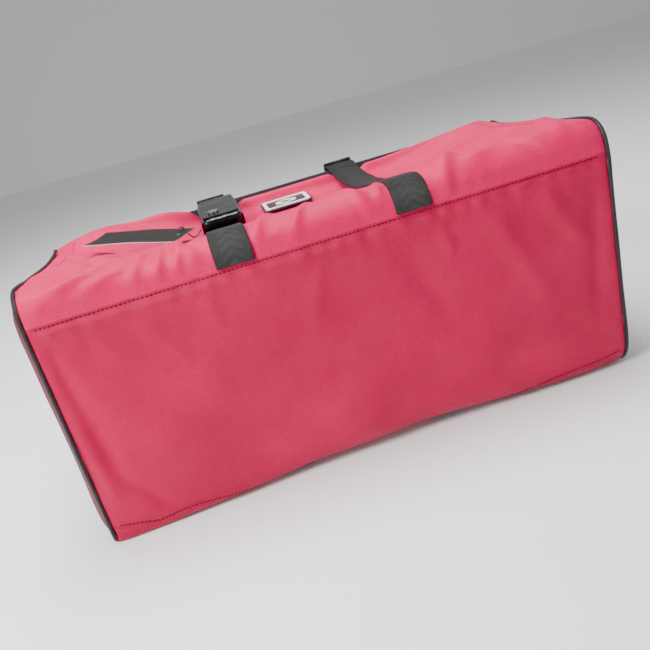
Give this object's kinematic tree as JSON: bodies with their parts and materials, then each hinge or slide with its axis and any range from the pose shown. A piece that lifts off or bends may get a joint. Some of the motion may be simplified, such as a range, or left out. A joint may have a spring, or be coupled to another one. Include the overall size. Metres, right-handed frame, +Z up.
{
  "type": "bowling ball bag",
  "caption": "Long boxy nylon bag for two bowling balls, lying on its back panel, with a zipped mouth flap, webbing handles, foam cradle and hang tag.",
  "frame": {"origin": "middle of the footprint of the bag and its back handle, on the floor that the bag lies on", "axes": "+X along the bag, -Y towards the base panel, +Y towards the zip and handles, +Z up, out of the front panel"},
  "size_m": [0.5448, 0.449, 0.2569],
  "materials": {
    "nylon": "satin raspberry nylon twill",
    "end_nylon": "deep maroon nylon twill",
    "piping": "black satin piping",
    "lining": "charcoal polyester lining",
    "board": "fabric-covered stiff board",
    "foam": "closed-cell foam",
    "zip_tape": "woven black tape",
    "zip_coil": "satin nylon coil",
    "metal": "polished nickel",
    "webbing": "charcoal jacquard webbing",
    "patent": "glossy black patent leather",
    "badge_black": "gloss black enamel",
    "badge_white": "pale enamel",
    "tag": "black coated card with a pale cut edge",
    "string": "waxed black cord"
  },
  "bodies": {
    "shell": {"base_panel": "nylon", "front_panel": "nylon", "back_panel": "nylon", "top_panel": "nylon", "end_panel_left": "end_nylon", "piping_left": "piping", "end_panel_right": "end_nylon", "piping_right": "piping", "lining_wrap": "lining", "lining_end_left": "lining", "lining_end_right": "lining", "base_board": "board", "ball_cradle": "foam", "zip_tape_back": "zip_tape", "zip_coil_back": "zip_coil", "zip_end_tab_left": "piping", "zip_end_tab_right": "piping", "handle_front_root_left": "webbing", "handle_front_root_right": "webbing", "handle_back_strap_left": "webbing", "handle_back_strap_right": "webbing"},
    "mouth": {"mouth_flap": "nylon", "lining_flap": "lining", "gusset_left": "lining", "gusset_right": "lining", "zip_tape_front": "zip_tape", "zip_coil_front": "zip_coil", "handle_front_leg_left": "webbing", "handle_front_leg_right": "webbing", "wrap_sleeve": "patent", "wrap_snap_socket": "metal", "badge_base": "badge_black", "badge_frame": "badge_white", "badge_motif": "badge_white"},
    "slider": {"zip_slider": "metal"},
    "pull": {"zip_pull": "metal"},
    "front_handle": {"handle_front_loop": "webbing"},
    "back_handle": {"handle_back_loop": "webbing"},
    "wrap_closure": {"wrap_flap": "patent", "wrap_snap_cap": "metal"},
    "tag": {"tag_string": "string", "tag_card": "tag", "tag_eyelet": "metal"}
  },
  "joints": [
    {"name": "mouth_open", "type": "hinge", "parent": "shell", "child": "mouth", "pos_m": [0, -0.14947, 0.2506], "axis": [1, 0, 0], "range_deg": [0, 72]},
    {"name": "zip_run", "type": "slide", "parent": "mouth", "child": "slider", "axis": [-1, 0, 0], "range_m": [0, 0.444]},
    {"name": "pull_tip", "type": "hinge", "parent": "slider", "child": "pull", "pos_m": [0.222, 0.04653, 0.23675], "axis": [0, -1, 0], "range_deg": [0, 178]},
    {"name": "front_handle_swing", "type": "hinge", "parent": "mouth", "child": "front_handle", "pos_m": [-0.004, 0.06703, 0.23995], "axis": [1, 0, 0], "range_deg": [0, 180]},
    {"name": "back_handle_swing", "type": "hinge", "parent": "shell", "child": "back_handle", "pos_m": [-0.004, 0.06903, 0.0024], "axis": [1, 0, 0], "range_deg": [0, 70]},
    {"name": "wrap_open", "type": "hinge", "parent": "mouth", "child": "wrap_closure", "pos_m": [-0.0615, -0.01832, 0.24138], "axis": [0, 0.9988, 0.0499], "range_deg": [0, 150]},
    {"name": "tag_lift", "type": "hinge", "parent": "mouth", "child": "tag", "pos_m": [-0.1075, -0.03347, 0.2256], "axis": [-0.9798, 0.2, 0], "range_deg": [0, 80]}
  ]
}
